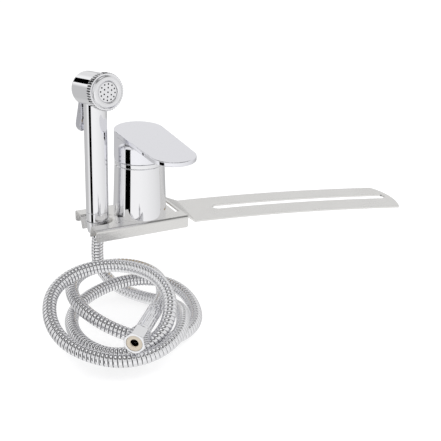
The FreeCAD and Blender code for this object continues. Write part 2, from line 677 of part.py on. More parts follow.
def make_spray_plate():
    """Plate with rings of spray holes, hollow behind them."""
    seat = spray_seat() + SEAL
    rim = HEAD_BORE + HEAD_WALL - FIT
    plate = turned([
        (0, seat), (rim, seat), (rim, seat + PLATE_STEP), (PLATE_R - FIT, seat + PLATE_STEP),
        (PLATE_R - FIT, FACE_END - 1.6), (PLATE_R - 0.5, FACE_END - 1.2), (0, FACE_END - 1.0)])
    cavity = rod(PLATE_R - 1.1, seat - 1, FACE_END - 3.2)
    holes = []
    for count, radius in HOLE_RINGS:
        for i in range(count):
            x, y = on_circle((0, 0), radius, 360.0 * i / count + 90)
            holes.append(rod(HOLE_R, FACE_END - 4, FACE_END, x, y))
    return in_head(plate.cut([cavity] + holes))


def make_knurled_ring():
    """Union ring with trapezoid teeth and bevelled ends."""
    start, end = KNURL_START, KNURL_END
    teeth = toothed(KNURL_R, 0.8, KNURL_TEETH, start, end)
    limit = turned([
        (0, start), (KNURL_R - 0.9, start), (KNURL_R, start + 0.9), (KNURL_R, end - 0.9),
        (KNURL_R - 0.9, end), (0, end)])
    return in_head(teeth.common(limit).cut(rod(HEAD_BORE + HEAD_WALL + FIT, start - 1, end + 1)))


def make_face_ring():
    """Domed front ring round the spray plate."""
    back = KNURL_END + GAP
    seat = spray_seat() + SEAL + PLATE_STEP
    rim = HEAD_BORE + HEAD_WALL
    outer = FACE_R
    crest = (outer + PLATE_R) / 2 - 0.3
    return in_head(turned([
        (PLATE_R, seat), (rim, seat), (rim, back), (outer, back),
        (outer, back + 0.6), (crest, FACE_END, ((outer + crest) / 2 + 0.7, FACE_END - 0.65)),
        (PLATE_R + 0.3, FACE_END - 0.7, ((crest + PLATE_R) / 2, FACE_END - 0.15)), (PLATE_R, FACE_END - 1.2)]))


def trigger_side(inset):
    """Side outline of the trigger, from points behind the handle's axis and above the pin; its top is open."""
    low = -TRIGGER_FOOT - 2.0
    return outline([
        (x, TRIGGER_Z + height) if through is None else (x, TRIGGER_Z + height, (through[0], TRIGGER_Z + through[1]))
        for x, height, through in (
            (TRIGGER_BACK - 3.2 - 5 * inset, 6.0 + inset, None),
            (TRIGGER_BACK + 4.2 - inset, 6.0 + inset, None),
            (TRIGGER_BACK + 11.6 - inset, -19.0, (TRIGGER_BACK + 8.4 - inset, -6.5)),
            (TRIGGER_BACK + 11.0 - inset, low, None),
            (TRIGGER_BACK + 3.0 - 5 * inset, low, None),
            (TRIGGER_BACK - 1.5 - 5 * inset, -10.0, None),
            (TRIGGER_BACK - 3.2 - 5 * inset, -4.0, None))])


def trigger_blank(inset, half):
    """The trigger's side outline across a width, with a rounded foot."""
    solid = Part.Face(trigger_side(inset)).extrude(V(0, 2 * half, 0))
    solid.translate(V(0, -half, 0))
    centre = TRIGGER_Z - TRIGGER_FOOT + TRIGGER_HALF
    reach = 2 * (TRIGGER_BACK + TRIGGER_FOOT)
    rounded = Part.makeCylinder(half, reach, V(0, 0, centre), V(1, 0, 0))
    return solid.common(rounded.fuse(block(0, reach, -half, half, centre, HEAD_Z)))


def make_trigger():
    """Channel-shaped lever with a rounded foot, open towards the handle."""
    shape = trigger_blank(0, TRIGGER_HALF).cut(trigger_blank(TRIGGER_WALL, TRIGGER_HALF - TRIGGER_WALL))
    under_head = in_head(rod(HEAD_R + TRIGGER_UNDER_HEAD, 2 * HEAD_BACK, 0))
    return behind_handle(shape).cut([along_pin(PIN_R + 0.06, HANDLE_R), under_head])


def make_plunger():
    """Valve plunger: head for the seal, stem through the gland, spring collar and domed button."""
    return along_plunger(turned([
        (0, 0.2), (STEM_R + 1.0, 0.2), (STEM_R + 1.0, 1.0), (STEM_R, 1.0), (STEM_R, COLLAR_FACE),
        (COLLAR_R, COLLAR_FACE), (COLLAR_R, COLLAR_FACE + COLLAR_T), (BUTTON_R, COLLAR_FACE + COLLAR_T),
        (BUTTON_R, BUTTON_TIP - 2.0), (0.5, BUTTON_TIP, (BUTTON_R - 0.5, BUTTON_TIP - 0.6)), (0, BUTTON_TIP)]))


def make_gland():
    """Threaded bushing that guides the plunger and holds its spring."""
    bore = STEM_R + 0.06
    return along_plunger(turned([
        (bore, GLAND_START), (GLAND_R, GLAND_START), (GLAND_R, GLAND_SEAT), (GLAND_R + 1, GLAND_SEAT),
        (GLAND_R + 1, GLAND_SEAT + 2), (GLAND_R - 0.2, GLAND_SEAT + 2), (GLAND_R - 0.2, GLAND_END),
        (COLLAR_R + GAP, GLAND_END), (COLLAR_R + GAP, GLAND_FLOOR), (bore, GLAND_FLOOR)]))


def make_valve_body():
    """Valve block in the handle: inlet from below, seat on the plunger's axis, outlet upwards."""
    low = PLUNGER_Z - VALVE_BELOW
    high = PLUNGER_Z + VALVE_ABOVE
    block_body = rod(HANDLE_BORE - FIT / 2, low, high, HANDSET_X)
    wide = COLLAR_R + 0.5
    narrow = STEM_R + 0.8
    cross = along_plunger(turned([
        (0, -5.5), (wide, -5.5), (wide, 3.0), (narrow, 3.0), (narrow, 5.0), (wide, 5.0), (wide, 9.5), (0, 9.5)]))
    inlet = behind_handle(rod(2.5, low - 1, PLUNGER_Z, -2.0))
    outlet = behind_handle(rod(1.4, PLUNGER_Z, high + 1, 6.6))
    return block_body.cut([cross, inlet, outlet])


def make_spring():
    """Return spring between the gland's floor and the plunger's collar, wound from half turns."""
    wire_r = SPRING_WIRE / 2
    low = GLAND_FLOOR + wire_r + FIT
    rise = (COLLAR_FACE - wire_r - FIT - low) / SPRING_TURNS

    def at(quarter):
        x, y = on_circle((0, 0), SPRING_R, 90.0 * quarter)
        return V(x, y, low + rise * quarter / 4)

    arcs = [Part.Arc(at(q), at(q + 0.5), at(q + 1)).toShape() for q in range(4 * SPRING_TURNS)]
    path = Part.Wire(arcs)
    start = arcs[0].tangentAt(arcs[0].FirstParameter)
    section = Part.Wire(Part.Circle(at(0), start, wire_r).toShape())
    return along_plunger(path.makePipeShell([section], True, False))


# Hose foot in the collar

def nut_radius(z):
    """Outside radius of the conical nut; its foot clears the collar's lower edge by the gap."""
    return collar_foot_radius() - GAP + (z + COLLAR_DEPTH) * math.tan(math.radians(NUT_TAPER))


def make_hose_nut():
    """Conical union nut that seats in the collar."""
    return turned([
        (STUB_R + FIT, NUT_TOP), (nut_radius(NUT_TOP), NUT_TOP), (nut_radius(NUT_END + 0.6), NUT_END + 0.6),
        (nut_radius(NUT_END) - 0.6, NUT_END), (FERRULE_R + FIT, NUT_END), (FERRULE_R + FIT, NUT_STEP),
        (STUB_R + FIT, NUT_STEP)])


def at_handset(shape):
    result = shape.copy()
    result.translate(V(HANDSET_X, 0, 0))
    return result


# Hose

def route_edges(points):
    """Straight runs joined by tangent arcs, each as large as its two runs allow; returns edges and radii."""
    points = [V(*point) for point in points]
    edges = []
    radii = []
    here = points[0]
    for before, corner, after in zip(points, points[1:], points[2:]):
        back = (before - corner).normalize()
        ahead = (after - corner).normalize()
        reach = 0.45 * min((before - corner).Length, (after - corner).Length)
        half_turn = (math.pi - back.getAngle(ahead)) / 2
        radius = reach / math.tan(half_turn)
        start = corner + back * reach
        end = corner + ahead * reach
        to_centre = (back + ahead).normalize()
        middle = corner + to_centre * (radius / math.cos(half_turn) - radius)
        edges.append(Part.LineSegment(here, start).toShape())
        edges.append(Part.Arc(start, middle, end).toShape())
        radii.append(radius)
        here = end
    edges.append(Part.LineSegment(here, points[-1]).toShape())
    return edges, radii


def middle_of(edge):
    return (edge.Vertexes[0].Point + edge.Vertexes[1].Point) / 2


def split_route():
    """The free stretch and the coil, parted in the middle of a straight run."""
    edges, radii = route_edges(HOSE_ROUTE)
    place = 2 * (COIL_FROM - 1)
    run = edges[place]
    start, end = run.Vertexes[0].Point, run.Vertexes[1].Point
    middle = middle_of(run)
    drop = edges[:place] + [Part.LineSegment(start, middle).toShape()]
    coil = [Part.LineSegment(middle, end).toShape()] + edges[place + 1:]
    return drop, coil, radii


def circle_across(centre, direction, radius):
    """A circle square to the direction, always begun at the same side so that lofts don't twist."""
    z_axis = V(direction).normalize()
    x_axis = (V(1, 0, 0) - z_axis * z_axis.x).normalize()
    y_axis = z_axis.cross(x_axis)
    turn = FreeCAD.Rotation(x_axis, y_axis, z_axis, "ZXY")
    wire = Part.Wire(Part.Circle(V(0, 0, 0), V(0, 0, 1), radius).toShape())
    wire.Placement = FreeCAD.Placement(centre, turn)
    return wire


def point_along(edges, distance):
    """Place and direction at a distance along the edges."""
    for edge in edges:
        if distance <= edge.Length + 1e-6 or edge is edges[-1]:
            place = edge.getParameterByLength(min(distance, edge.Length))
            return edge.valueAt(place), edge.tangentAt(place)
        distance -= edge.Length


def ribbed_tube(edges):
    """Ribbed hose: a ruled loft through four circles for each rib, with its bore."""
    length = sum(edge.Length for edge in edges)
    count = int(length / RIB_PITCH)
    lead = (length - count * RIB_PITCH) / 2
    stations = [(0.0, -RIB_DEPTH)]
    for rib in range(count):
        start = lead + rib * RIB_PITCH
        for share, depth in ((0.1, -RIB_DEPTH), (0.25, 0.0), (0.75, 0.0), (0.9, -RIB_DEPTH)):
            stations.append((start + share * RIB_PITCH, depth))
    stations.append((length, -RIB_DEPTH))
    outside = [circle_across(*point_along(edges, s), HOSE_D / 2 + depth) for s, depth in stations]
    bore_places = [place for place, depth in stations[::4]] + [length]
    inside = [circle_across(*point_along(edges, s), HOSE_BORE / 2) for s in bore_places]
    return Part.makeLoft(outside, True, True).cut(Part.makeLoft(inside, True, True))


def plain_tube(edges, radius):
    """One unbroken round tube along the edges; its volume is compared with section times length."""
    start = edges[0]
    section = circle_across(start.valueAt(start.FirstParameter), start.tangentAt(start.FirstParameter), radius)
    tube = Part.Wire(edges).makePipeShell([section], True, False)
    length = sum(edge.Length for edge in edges)
    share = tube.Volume / (math.pi * radius * radius * length)
    print("coil: length %.1f mm, volume over section times length %.4f" % (length, share))
    return tube


def least_gap(edges, radius):
    """Least gap of a tube to itself, measured on points along its centreline."""
    step = 3.0
    length = sum(edge.Length for edge in edges)
    count = int(length / step)
    points = [point_along(edges, i * step)[0] for i in range(count)]
    skip = int(4 * radius / step) + 1
    least = min((points[i] - points[j]).Length for i in range(count) for j in range(i + skip, count))
    return least - 2 * radius


def at_hose_end(shape):
    """A shape drawn along +Z from the origin, set on the hose's free end."""
    last = V(*HOSE_ROUTE[-1])
    return placed(shape, last, last - V(*HOSE_ROUTE[-2]))


def make_end_sleeve():
    """Crimped sleeve with lengthwise flutes between plain ends."""
    r = END_SLEEVE_R
    plain = turned([
        (0, 0), (r - 0.3, 0), (r, 0.3), (r, 3.5), (r - 0.6, 4.5), (r - 0.6, END_SLEEVE - 4.5),
        (r, END_SLEEVE - 3.5), (r, END_SLEEVE - 0.5), (r - 0.5, END_SLEEVE), (0, END_SLEEVE)])
    flutes = toothed(r - 0.05, 0.5, END_FLUTES, 4, END_SLEEVE - 4)
    return at_hose_end(plain.fuse(flutes).cut(rod(HOSE_BORE / 2, -1, END_SLEEVE + 1)))


def make_end_ferrule():
    """Neck through the nut, with a flange that presses the washer."""
    flange = END_NUT_START + END_FLANGE
    bore = HOSE_BORE / 2
    rim = END_BORE_R - 2 * FIT
    return at_hose_end(turned([
        (bore, END_SLEEVE), (END_NECK_R, END_SLEEVE), (END_NECK_R, flange), (rim, flange),
        (rim, flange + END_FLANGE_T), (bore, flange + END_FLANGE_T)]))


def make_end_nut():
    start = END_NUT_START
    end = start + END_NUT_LENGTH
    nut = hexagon(END_NUT_FLATS, start, end)
    return at_hose_end(nut.cut([rod(END_NECK_R + FIT, start - 1, end), rod(END_BORE_R, start + 3, end + 1)]))


def make_end_washer():
    low = END_NUT_START + END_FLANGE + END_FLANGE_T
    return at_hose_end(ring(END_BORE_R - 2 * FIT, END_WASHER_BORE, low, low + END_WASHER))


# All pieces

NODES = {}
NODES["mounting_bracket"] = make_bracket()
NODES["base_gasket"] = ring(RECESS_R - FIT, HUB_R + FIT, 0, GASKET)
NODES["mixer_body"] = make_body()
NODES["rubber_washer"] = ring(WASHER_R, SHANK_R + GAP, RUBBER_FOOT, -SHEET)
NODES["steel_washer"] = ring(WASHER_R, SHANK_R + GAP, CLAMP, RUBBER_FOOT)
clamping_nut = hexagon(CLAMP_NUT_FLATS, CLAMP - CLAMP_NUT, CLAMP)
NODES["clamping_nut"] = clamping_nut.cut(rod(SHANK_R + FIT, CLAMP - CLAMP_NUT - 1, CLAMP + 1))
NODES["outlet_nipple"] = make_outlet()

NODES["cartridge_housing"] = make_housing()
fixed_disc = rod(DISC_R, DISC_SEAT, DISC_SEAT + DISC_T)
NODES["fixed_disc"] = fixed_disc.cut(ports(DISC_SEAT - 1, DISC_SEAT + DISC_T + 1, 2.4))
NODES["moving_disc"] = make_moving_disc()
NODES["rotor"] = make_rotor()
NODES["spindle_pin"] = along_x(SPINDLE_PIN_R - 0.02, 2 * ROTOR_R - 1, PIVOT_Z)
NODES["spindle"] = make_spindle()
NODES["cartridge_nut"] = make_cartridge_nut()
NODES["cover_ring"] = make_cover_ring()
NODES["lever_handle"] = make_lever()
NODES["lever_grub_screw"] = make_grub()
NODES["lever_plug"] = along_y(PLUG_R, plug_start(), plug_start() + PLUG_LENGTH)

NODES["handset_body"] = make_handset_body()
NODES["knurled_ring"] = make_knurled_ring()
NODES["face_ring"] = make_face_ring()
NODES["spray_plate"] = make_spray_plate()
NODES["spray_seal"] = in_head(ring(HEAD_BORE + HEAD_WALL - FIT, HEAD_BORE, spray_seat(), spray_seat() + SEAL))
NODES["inner_tube"] = at_handset(ring(STUB_BORE - FIT / 2, TUBE_BORE, STUB_END + 0.5, PLUNGER_Z - VALVE_BELOW))
NODES["valve_body"] = make_valve_body()
NODES["valve_plunger"] = make_plunger()
NODES["valve_seal"] = along_plunger(ring(COLLAR_R, STEM_R + 0.02, 1.0, 3.0))
NODES["valve_spring"] = make_spring()
NODES["plunger_gland"] = make_gland()
NODES["trigger"] = make_trigger()
NODES["trigger_pin"] = along_pin(PIN_R, TRIGGER_HALF)
foot_sleeve = turned([
    (STUB_R + FIT, SLEEVE_FOOT), (HANDLE_R, SLEEVE_FOOT), (HANDLE_R, HANDLE_FOOT - SEAM),
    (HANDLE_R - 0.8, HANDLE_FOOT - SEAM), (HANDLE_R - 0.8, HANDLE_FOOT), (STUB_R + FIT, HANDLE_FOOT)])
NODES["handset_sleeve"] = at_handset(foot_sleeve)
NODES["hose_cone_nut"] = at_handset(make_hose_nut())
washer_foot = STUB_END - HOSE_WASHER
ferrule = turned([
    (TUBE_BORE, HOSE_START), (FERRULE_R - 0.5, HOSE_START), (FERRULE_R, HOSE_START + 0.5), (FERRULE_R, NUT_STEP),
    (STUB_R, NUT_STEP), (STUB_R, washer_foot), (TUBE_BORE, washer_foot)])
NODES["hose_ferrule"] = at_handset(ferrule)
NODES["hose_washer"] = at_handset(ring(STUB_R - 2 * FIT, TUBE_BORE, washer_foot, STUB_END))

drop_edges, coil_edges, radii = split_route()
NODES["hose_drop"] = ribbed_tube(drop_edges)
NODES["hose_coil"] = plain_tube(coil_edges, HOSE_D / 2)
NODES["hose_end_sleeve"] = make_end_sleeve()
NODES["hose_end_ferrule"] = make_end_ferrule()
NODES["hose_end_nut"] = make_end_nut()
NODES["hose_end_washer"] = make_end_washer()
print("radii of the hose's route: " + " ".join("%.0f" % radius for radius in radii))
print("least gap of the coil to itself: %.2f mm" % least_gap(coil_edges, HOSE_D / 2))

os.makedirs("parts", exist_ok=True)
for node, shape in NODES.items():
    save(node, shape)
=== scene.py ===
"""Bidet shower mixer: how it looks. Metres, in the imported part's own frame."""

import math

import bpy
import numpy as np
from mathutils import Matrix, Vector


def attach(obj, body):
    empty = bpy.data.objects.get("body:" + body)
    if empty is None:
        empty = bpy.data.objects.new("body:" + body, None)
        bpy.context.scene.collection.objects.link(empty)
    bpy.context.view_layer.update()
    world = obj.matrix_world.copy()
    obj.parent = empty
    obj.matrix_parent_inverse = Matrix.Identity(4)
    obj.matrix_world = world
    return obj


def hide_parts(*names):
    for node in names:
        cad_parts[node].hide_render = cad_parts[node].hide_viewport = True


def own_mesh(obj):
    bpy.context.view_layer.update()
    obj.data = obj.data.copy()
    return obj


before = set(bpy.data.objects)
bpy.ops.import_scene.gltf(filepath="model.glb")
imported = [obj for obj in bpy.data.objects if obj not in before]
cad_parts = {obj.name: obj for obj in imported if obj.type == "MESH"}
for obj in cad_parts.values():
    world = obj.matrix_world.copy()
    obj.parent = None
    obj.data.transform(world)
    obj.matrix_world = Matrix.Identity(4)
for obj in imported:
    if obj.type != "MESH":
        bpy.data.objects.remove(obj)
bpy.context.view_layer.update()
scene = bpy.context.scene
scene.view_settings.view_transform = "Standard"


# Bracket: a blank of 2 mm stainless sheet, punched, bent and pressed, with the hand shower's collar drawn in.
# The mill's fine brushed grain runs along it and is left as it is, so it reflects in soft streaks.

def colour(text):
    """Linear RGBA of an sRGB hex colour."""
    parts = [int(text[i:i + 2], 16) / 255 for i in (0, 2, 4)]
    return [p / 12.92 if p <= 0.04045 else ((p + 0.055) / 1.055) ** 2.4 for p in parts] + [1.0]


def add(tree, kind, settings=None, **links):
    """A node with its settings; a link's value is a number, a colour or another node's output."""
    node = tree.nodes.new(kind)
    for key, value in (settings or {}).items():
        setattr(node, key, value)
    for key, value in links.items():
        socket = node.inputs[int(key[1:])] if key[1:].isdigit() else node.inputs[key.replace("_", " ")]
        if isinstance(value, bpy.types.NodeSocket):
            tree.links.new(value, socket)
        else:
            socket.default_value = value
    return node


def start_material(name, hex_colour, metallic, rough):
    """A material's shader and tree, with its plain values on the shader's own sockets."""
    material = bpy.data.materials.new(name)
    material.use_nodes = True
    tree = material.node_tree
    shader = tree.nodes["Principled BSDF"]
    shader.inputs["Base Color"].default_value = colour(hex_colour)
    shader.inputs["Metallic"].default_value = metallic
    shader.inputs["Roughness"].default_value = rough
    return material, tree, shader


HANDLING_MARK = 0.022           # width of the patches that handling and wiping leave on metal
PATCH_FROM, PATCH_TO = 0.3, 0.7                 # the noise's levels in the smoothest and the roughest patches
RELIEF = 0.0002                 # height of a surface's grain at full strength


def metal(name, hex_colour, rough, spread, grain=(2.5, 2.5, 2.5), strength=0.02, edge=0.0003):
    """Metal with soft patches of roughness, a grain of so many mm along x, y and z, and worn edges."""
    material, tree, shader = start_material(name, hex_colour, 1.0, rough)
    place = add(tree, "ShaderNodeTexCoord").outputs["Object"]
    scaled = add(tree, "ShaderNodeMapping", None, Vector=place,
                 Scale=[1000 / size for size in grain]).outputs[0]
    patches = add(tree, "ShaderNodeTexNoise", None, Vector=place, Scale=1 / HANDLING_MARK,
                  Detail=4.0).outputs[0]
    fine = add(tree, "ShaderNodeTexNoise", None, Vector=scaled, Scale=1.0, Detail=3.0).outputs[0]
    roughness = add(tree, "ShaderNodeMapRange", None, Value=patches, From_Min=PATCH_FROM, From_Max=PATCH_TO,
                    To_Min=max(rough - spread, 0.01), To_Max=rough + spread).outputs[0]
    rounded = add(tree, "ShaderNodeBevel", {"samples": 6}, Radius=edge).outputs[0]
    relief = add(tree, "ShaderNodeBump", None, Strength=strength, Distance=RELIEF, Height=fine,
                 Normal=rounded)
    tree.links.new(roughness, shader.inputs["Roughness"])
    tree.links.new(relief.outputs[0], shader.inputs["Normal"])
    return material


def paint(material, *nodes):
    """Give CAD nodes a material."""
    for node in nodes:
        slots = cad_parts[node].data.materials
        slots.clear()
        slots.append(material)


# Grain lines 0.15 mm apart would not show at this size, so they are drawn about 0.8 mm apart and 28 mm long.
paint(metal("brushed_stainless_sheet", "e6e5e3", 0.24, 0.05, grain=(28, 0.8, 0.8), strength=0.05,
            edge=0.0004), "mounting_bracket")


# Mixer body and its cover ring: brass castings, turned, polished and chrome plated, a light conical sleeve.
# Chrome shows the studio sharply; only a slight haze and wear round the rims break it.

# The polish leaves pits far under a millimetre, drawn here as faint swells of 2.5 mm.
CHROME = metal("polished_chrome_on_brass", "f0f0f2", 0.035, 0.02, strength=0.006)
paint(CHROME, "mixer_body", "cover_ring")


# Gasket in the recess of the base, and what clamps the mixer under the plate: rubber and steel washers.
# Moulded black rubber, slightly grey with talc, and zinc plated steel with a dull bright grain.

def moulded(name, hex_low, hex_high, rough, ior, grain, strength):
    """Rubber, plastic, fibre or ceramic whose colour varies a little with a grain of so many mm."""
    material, tree, shader = start_material(name, hex_low, 0.0, rough)
    place = add(tree, "ShaderNodeTexCoord").outputs["Object"]
    spots = add(tree, "ShaderNodeTexNoise", None, Vector=place, Scale=1000 / grain, Detail=5.0).outputs[0]
    tint = add(tree, "ShaderNodeMix", {"data_type": "RGBA"}, i0=spots, i6=colour(hex_low),
               i7=colour(hex_high))
    relief = add(tree, "ShaderNodeBump", None, Strength=strength, Distance=RELIEF, Height=spots)
    tree.links.new(tint.outputs[2], shader.inputs["Base Color"])
    tree.links.new(relief.outputs[0], shader.inputs["Normal"])
    shader.inputs["IOR"].default_value = ior
    return material


# Real moulded grain is mostly under 0.2 mm; here and below it is drawn at 0.5 to 3.3 mm, so that it shows.
RUBBER = moulded("moulded_black_rubber", "141414", "262626", 0.6, 1.52, 1.1, 0.3)
STEEL = metal("zinc_plated_steel", "c9cacc", 0.3, 0.06, grain=(1.4, 1.4, 1.4), strength=0.05)
paint(RUBBER, "base_gasket", "rubber_washer")
paint(STEEL, "steel_washer")


# Clamping nut and outlet nipple: turned brass, left bare because they sit out of sight under the plate.
# Turning rings 0.1 mm apart would not show. Drawn 0.7 mm apart, they give the brass a satin streak.

BRASS = metal("turned_brass", "dcb768", 0.22, 0.06, grain=(6.7, 6.7, 0.7), strength=0.05)
paint(BRASS, "clamping_nut", "outlet_nipple")


# Cartridge: acetal housing and rotor, two lapped ceramic discs, brass spindle on a steel pin, brass ring nut.
# Acetal is waxy white with a soft gloss; the ceramic is whiter, denser and nearly polished.

CERAMIC = moulded("lapped_alumina", "ecebe2", "f4f3ee", 0.15, 1.77, 0.5, 0.01)
ACETAL = moulded("moulded_acetal", "e2e2de", "ececea", 0.4, 1.48, 3.3, 0.05)
paint(ACETAL, "cartridge_housing", "rotor")
paint(CERAMIC, "fixed_disc", "moving_disc")
paint(BRASS, "spindle", "cartridge_nut")
paint(STEEL, "spindle_pin")


# Lever: zinc die casting, polished and chrome plated, with a steel grub screw behind a grey plastic plug.
# The flat blade keeps the buffing wheel's faint waves, 4 mm wide, so its shine is softer than the body's.

CAST_CHROME = metal("polished_chrome_on_zinc", "f0f0f5", 0.06, 0.025, grain=(3.8, 3.8, 3.8), strength=0.012,
                    edge=0.0009)
paint(CAST_CHROME, "lever_handle")
paint(STEEL, "lever_grub_screw")
paint(moulded("moulded_grey_plastic", "86898d", "94979b", 0.45, 1.49, 2.0, 0.1), "lever_plug")


# Hand shower: brass tube and head in the mixer's polished chrome, with an acetal water tube and valve inside.
# The knurled union ring is polished too; the domed face ring and the bored spray plate have a satin finish.

paint(CHROME, "handset_body", "handset_sleeve")

HEAD_AT = Vector((-0.117, 0.005, 0.1372))
HEAD_AXIS = Vector((0.1471, -0.9845, 0.0958))
TOOTH_ROOT, TOOTH_TIP = 0.01705, 0.0176         # radii between which the gaps' shade gives way to chrome


def knurled():
    """Chrome teeth with shaded gaps, told apart by the distance from the head's axis; the ends are bright."""
    material = CHROME.copy()
    material.name = "chrome_knurl_with_shaded_gaps"
    tree = material.node_tree
    place = add(tree, "ShaderNodeTexCoord").outputs["Object"]
    offset = add(tree, "ShaderNodeVectorMath", {"operation": "SUBTRACT"}, i0=place, i1=HEAD_AT).outputs[0]
    aside = add(tree, "ShaderNodeVectorMath", {"operation": "CROSS_PRODUCT"}, i0=offset,
                i1=HEAD_AXIS).outputs[0]
    radius = add(tree, "ShaderNodeVectorMath", {"operation": "LENGTH"}, i0=aside).outputs["Value"]
    on_tooth = add(tree, "ShaderNodeMapRange", None, Value=radius, From_Min=TOOTH_ROOT,
                   From_Max=TOOTH_TIP).outputs[0]
    normal = add(tree, "ShaderNodeNewGeometry").outputs["Normal"]
    end = add(tree, "ShaderNodeVectorMath", {"operation": "DOT_PRODUCT"}, i0=normal,
              i1=HEAD_AXIS).outputs["Value"]
    on_end = add(tree, "ShaderNodeMath", {"operation": "ABSOLUTE"}, i0=end).outputs[0]
    bright = add(tree, "ShaderNodeMath", {"operation": "MAXIMUM"}, i0=on_tooth, i1=on_end).outputs[0]
    tint = add(tree, "ShaderNodeMix", {"data_type": "RGBA"}, i0=bright, i6=colour("3c3c40"),
               i7=colour("f0f0f2"))
    tree.links.new(tint.outputs[2], tree.nodes["Principled BSDF"].inputs["Base Color"])
    return material


paint(knurled(), "knurled_ring")

SATIN_CHROME = metal("satin_chrome_on_brass", "eeeef0", 0.2, 0.03, strength=0.006)
paint(SATIN_CHROME, "face_ring")

HEAD_REACH = 0.0252             # along the axis, to the spray plate's face
BORE_SHADE, BORE_RIM = 0.0007, 0.0005           # depths behind the face between which the bores' walls turn to painted shade


def bored_plate():
    """Satin chrome in front and painted shade on the bores' walls behind it, told apart by the depth along
    the head's axis.
    """
    material = SATIN_CHROME.copy()
    material.name = "chrome_plate_with_painted_shade_in_bores"
    tree = material.node_tree
    front = HEAD_AT.dot(HEAD_AXIS) + HEAD_REACH
    place = add(tree, "ShaderNodeTexCoord").outputs["Object"]
    along = add(tree, "ShaderNodeVectorMath", {"operation": "DOT_PRODUCT"}, i0=place,
                i1=HEAD_AXIS).outputs["Value"]
    depth = add(tree, "ShaderNodeMapRange", None, Value=along, From_Min=front - BORE_SHADE,
                From_Max=front - BORE_RIM).outputs[0]
    # Painted shade: the bores' walls are coloured brown-black to stand in for the shadow inside the holes.
    tint = add(tree, "ShaderNodeMix", {"data_type": "RGBA"}, i0=depth, i6=colour("2a2622"),
               i7=colour("f0f0f2"))
    tree.links.new(tint.outputs[2], tree.nodes["Principled BSDF"].inputs["Base Color"])
    return material


paint(bored_plate(), "spray_plate")
paint(ACETAL, "inner_tube", "valve_body")
paint(RUBBER, "spray_seal", "valve_seal")
paint(STEEL, "valve_plunger", "valve_spring", "trigger_pin")
paint(BRASS, "plunger_gland")


# Return spring of the valve: five turns of 0.6 mm steel wire between the gland and the plunger's collar.
# It is 5.6 mm long at rest and 3 mm, coil on coil, when the trigger is pulled.

HANDLE_AT = Vector((-0.117, 0.005, 0.007))
BACKWARDS = Vector((-0.1478, 0.9890, 0.0))
spring = bpy.data.objects.new("return_spring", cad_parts["valve_spring"].data.copy())
scene.collection.objects.link(spring)
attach(spring, "hand_shower")
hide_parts("valve_spring")
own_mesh(spring)


# Trigger: zinc die casting, a channel 1.7 mm thick that is closed at its foot, chrome plated.
# Its surface is less even than the lever's, in waves about 9 mm wide that mottle what it reflects.

SIDEWAYS = Vector((0.9890, 0.1478, 0.0))
TRIGGER_WALL, TRIGGER_EDGE = 0.0017, 0.0005
# The trigger's outline is in millimetres, with heights above the plate.
TRIGGER_HALF = 8.95
TRIGGER_CORNER = 3.0
TRIGGER_ROUND = 93.0            # below this height the foot is rounded
FOOT_HALF = 0.6
# Height, and how far behind the handle's axis the trigger's back and its front edge lie there.
TRIGGER_SHAPE = [(84.1, 25.6, 24.0), (86.0, 26.2, 19.5), (90.0, 26.0, 17.0), (96.0, 24.7, 14.0),
                 (102.0, 22.7, 12.0), (108.0, 20.7, 11.8), (113.0, 19.2, 11.8), (115.2, 18.6, 13.2)]
TRIGGER_FOOT, TRIGGER_TOP = TRIGGER_SHAPE[0][0], TRIGGER_SHAPE[-1][0]
TRIGGER_ROWS, FLANK_STEPS, CORNER_STEPS, BACK_STEPS = 27, 5, 6, 4
CROWDING = 1.5                  # rows lie closer near the foot, where the outline curves
CORNER_SHARE = 0.8              # the most that a corner takes of the flank or of half the back


def trigger_row(height):
    """Half of the U across the handle at a height, from the front edge to the middle of the back."""
    heights, backs, fronts = zip(*TRIGGER_SHAPE)
    drop = max(TRIGGER_ROUND - height, 0.0)
    half = max(math.sqrt(max(TRIGGER_HALF ** 2 - drop ** 2, 0.0)), FOOT_HALF)
    back = float(np.interp(height, heights, backs))
    front = float(np.interp(height, heights, fronts))
    corner = min(TRIGGER_CORNER, half * CORNER_SHARE, (back - front) * CORNER_SHARE)
    flank = [(half, front + (back - corner - front) * i / FLANK_STEPS) for i in range(FLANK_STEPS)]
    angles = [math.radians(90 * i / CORNER_STEPS) for i in range(CORNER_STEPS + 1)]
    bend = [(half - corner + corner * math.cos(a), back - corner + corner * math.sin(a)) for a in angles]
    rear = [((half - corner) * (1 - i / BACK_STEPS), back) for i in range(1, BACK_STEPS + 1)]
    return flank + bend + rear


def cast_trigger():
    """The channel's outer skin, thickened inwards and with its edges rounded."""
    vertices = []
    for row in range(TRIGGER_ROWS + 1):
        height = TRIGGER_FOOT + (TRIGGER_TOP - TRIGGER_FOOT) * (row / TRIGGER_ROWS) ** CROWDING
        side = trigger_row(height)
        for aside, behind in side + [(-x, y) for x, y in reversed(side[:-1])]:
            place = BACKWARDS * behind + SIDEWAYS * aside + Vector((0, 0, height))
            vertices.append(HANDLE_AT + place / 1000)
    wide = len(vertices) // (TRIGGER_ROWS + 1)
    faces = [(r * wide + c, r * wide + c + 1, (r + 1) * wide + c + 1, (r + 1) * wide + c)
             for r in range(TRIGGER_ROWS) for c in range(wide - 1)]
    mesh = bpy.data.meshes.new("trigger_casting")
    mesh.from_pydata(vertices, [], faces)
    mesh.polygons.foreach_set("use_smooth", [True] * len(faces))
    piece = bpy.data.objects.new("trigger_casting", mesh)
    scene.collection.objects.link(piece)
    wall = piece.modifiers.new("wall", "SOLIDIFY")
    wall.thickness = TRIGGER_WALL
    wall.offset = -1.0
    rounded = piece.modifiers.new("rounded", "BEVEL")
    rounded.width = TRIGGER_EDGE
    rounded.segments = 3
    return piece


trigger = cast_trigger()
trigger.data.materials.append(metal("plated_die_casting", "d2d2d8", 0.09, 0.05, grain=(9, 9, 18),
                                    strength=0.4, edge=0.0004))
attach(trigger, "trigger_lever")
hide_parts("trigger")


